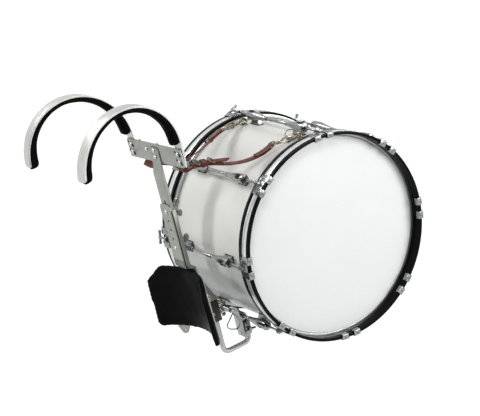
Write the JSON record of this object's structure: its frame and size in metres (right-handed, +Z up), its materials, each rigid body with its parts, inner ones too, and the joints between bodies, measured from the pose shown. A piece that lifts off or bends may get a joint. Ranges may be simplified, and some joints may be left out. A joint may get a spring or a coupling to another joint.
{
  "type": "marching bass drum",
  "caption": "Marching bass drum with tensioned heads, worn on a leaned metal carrier with padded shoulder arches, a belly pad and a leather sling strap.",
  "frame": {"origin": "on the player's shoulders, midway between the two shoulder pads under the crowns of the arches", "axes": "+X forward, away from the player, +Y toward the rear head, +Z up; the drum's axis runs along Y"},
  "size_m": [0.9701, 0.4301, 0.6971],
  "materials": {
    "shell_white": "gloss white covering on a plywood shell",
    "head_film": "smooth white film",
    "hoop_black": "gloss black lacquer with a lighter inlay",
    "chrome": "polished plate",
    "carrier_alloy": "satin",
    "arch_silver": "satin",
    "tube_silver": "bright",
    "pad_cover": "matte black foam cover",
    "strap_leather": "waxed"
  },
  "bodies": {
    "yoke": {"cross_plate": "carrier_alloy", "spine_bar": "carrier_alloy", "sling_strap": "strap_leather"},
    "arch_near": {"arch_near": "arch_silver", "arch_pad_near": "pad_cover"},
    "arch_far": {"arch_far": "arch_silver", "arch_pad_far": "pad_cover"},
    "drum": {"shell": "shell_white", "head_front": "head_film", "head_rear": "head_film", "hoop_front": "hoop_black", "hoop_rear": "hoop_black", "lug_1": "chrome", "lug_2": "chrome", "lug_3": "chrome", "lug_4": "chrome", "lug_5": "chrome", "lug_6": "chrome", "lug_7": "chrome", "lug_8": "chrome", "claw_front_1": "chrome", "claw_front_2": "chrome", "claw_front_3": "chrome", "claw_front_4": "chrome", "claw_front_5": "chrome", "claw_front_6": "chrome", "claw_front_7": "chrome", "claw_front_8": "chrome", "claw_rear_1": "chrome", "claw_rear_2": "chrome", "claw_rear_3": "chrome", "claw_rear_4": "chrome", "claw_rear_5": "chrome", "claw_rear_6": "chrome", "claw_rear_7": "chrome", "claw_rear_8": "chrome", "lower_bar": "carrier_alloy", "belly_plate": "carrier_alloy", "belly_pad": "pad_cover", "lower_tube": "tube_silver", "shell_bracket": "chrome"},
    "rod_front_1": {"rod_front_1": "chrome"},
    "rod_front_2": {"rod_front_2": "chrome"},
    "rod_front_3": {"rod_front_3": "chrome"},
    "rod_front_4": {"rod_front_4": "chrome"},
    "rod_front_5": {"rod_front_5": "chrome"},
    "rod_front_6": {"rod_front_6": "chrome"},
    "rod_front_7": {"rod_front_7": "chrome"},
    "rod_front_8": {"rod_front_8": "chrome"},
    "rod_rear_1": {"rod_rear_1": "chrome"},
    "rod_rear_2": {"rod_rear_2": "chrome"},
    "rod_rear_3": {"rod_rear_3": "chrome"},
    "rod_rear_4": {"rod_rear_4": "chrome"},
    "rod_rear_5": {"rod_rear_5": "chrome"},
    "rod_rear_6": {"rod_rear_6": "chrome"},
    "rod_rear_7": {"rod_rear_7": "chrome"},
    "rod_rear_8": {"rod_rear_8": "chrome"},
    "clamp_screw": {"clamp_screw": "chrome"},
    "wing_nut_upper": {"wing_nut_upper": "chrome"},
    "wing_nut_lower": {"wing_nut_lower": "chrome"}
  },
  "joints": [
    {"name": "height_slide", "type": "slide", "parent": "yoke", "child": "drum", "axis": [-0.274, 0, 0.9617], "range_m": [-0.049, 0.0245], "deforming": ["sling_strap"]},
    {"name": "arch_near_slide", "type": "slide", "parent": "yoke", "child": "arch_near", "axis": [-0.0837, 0.9521, 0.294], "range_m": [-0.011, 0.011]},
    {"name": "arch_far_slide", "type": "slide", "parent": "yoke", "child": "arch_far", "axis": [-0.0837, 0.9521, 0.294], "range_m": [-0.011, 0.011]},
    {"name": "rod_front_1_turn", "type": "hinge", "parent": "drum", "child": "rod_front_1", "pos_m": [0.8448, -0.15, -0.28724], "axis": [0, -1, 0], "continuous": true},
    {"name": "rod_front_2_turn", "type": "hinge", "parent": "drum", "child": "rod_front_2", "pos_m": [0.73151, -0.15, -0.1094], "axis": [0, -1, 0], "continuous": true},
    {"name": "rod_front_3_turn", "type": "hinge", "parent": "drum", "child": "rod_front_3", "pos_m": [0.52565, -0.15, -0.06377], "axis": [0, -1, 0], "continuous": true},
    {"name": "rod_front_4_turn", "type": "hinge", "parent": "drum", "child": "rod_front_4", "pos_m": [0.34781, -0.15, -0.17706], "axis": [0, -1, 0], "continuous": true},
    {"name": "rod_front_5_turn", "type": "hinge", "parent": "drum", "child": "rod_front_5", "pos_m": [0.30218, -0.15, -0.38292], "axis": [0, -1, 0], "continuous": true},
    {"name": "rod_front_6_turn", "type": "hinge", "parent": "drum", "child": "rod_front_6", "pos_m": [0.41547, -0.15, -0.56076], "axis": [0, -1, 0], "continuous": true},
    {"name": "rod_front_7_turn", "type": "hinge", "parent": "drum", "child": "rod_front_7", "pos_m": [0.62133, -0.15, -0.60639], "axis": [0, -1, 0], "continuous": true},
    {"name": "rod_front_8_turn", "type": "hinge", "parent": "drum", "child": "rod_front_8", "pos_m": [0.79917, -0.15, -0.4931], "axis": [0, -1, 0], "continuous": true},
    {"name": "rod_rear_1_turn", "type": "hinge", "parent": "drum", "child": "rod_rear_1", "pos_m": [0.8448, 0.15, -0.28724], "axis": [0, 1, 0], "continuous": true},
    {"name": "rod_rear_2_turn", "type": "hinge", "parent": "drum", "child": "rod_rear_2", "pos_m": [0.73151, 0.15, -0.1094], "axis": [0, 1, 0], "continuous": true},
    {"name": "rod_rear_3_turn", "type": "hinge", "parent": "drum", "child": "rod_rear_3", "pos_m": [0.52565, 0.15, -0.06377], "axis": [0, 1, 0], "continuous": true},
    {"name": "rod_rear_4_turn", "type": "hinge", "parent": "drum", "child": "rod_rear_4", "pos_m": [0.34781, 0.15, -0.17706], "axis": [0, 1, 0], "continuous": true},
    {"name": "rod_rear_5_turn", "type": "hinge", "parent": "drum", "child": "rod_rear_5", "pos_m": [0.30218, 0.15, -0.38292], "axis": [0, 1, 0], "continuous": true},
    {"name": "rod_rear_6_turn", "type": "hinge", "parent": "drum", "child": "rod_rear_6", "pos_m": [0.41547, 0.15, -0.56076], "axis": [0, 1, 0], "continuous": true},
    {"name": "rod_rear_7_turn", "type": "hinge", "parent": "drum", "child": "rod_rear_7", "pos_m": [0.62133, 0.15, -0.60639], "axis": [0, 1, 0], "continuous": true},
    {"name": "rod_rear_8_turn", "type": "hinge", "parent": "drum", "child": "rod_rear_8", "pos_m": [0.79917, 0.15, -0.4931], "axis": [0, 1, 0], "continuous": true},
    {"name": "wing_nut_upper_turn", "type": "hinge", "parent": "drum", "child": "wing_nut_upper", "pos_m": [0.21383, 0, -0.26007], "axis": [0.9617, 0, 0.274], "continuous": true},
    {"name": "wing_nut_lower_turn", "type": "hinge", "parent": "drum", "child": "wing_nut_lower", "pos_m": [0.24067, 0, -0.35432], "axis": [0.9617, 0, 0.274], "continuous": true},
    {"name": "clamp_screw_turn", "type": "hinge", "parent": "drum", "child": "clamp_screw", "pos_m": [0.43471, -0.02, -0.59747], "axis": [0, -1, 0], "continuous": true}
  ]
}
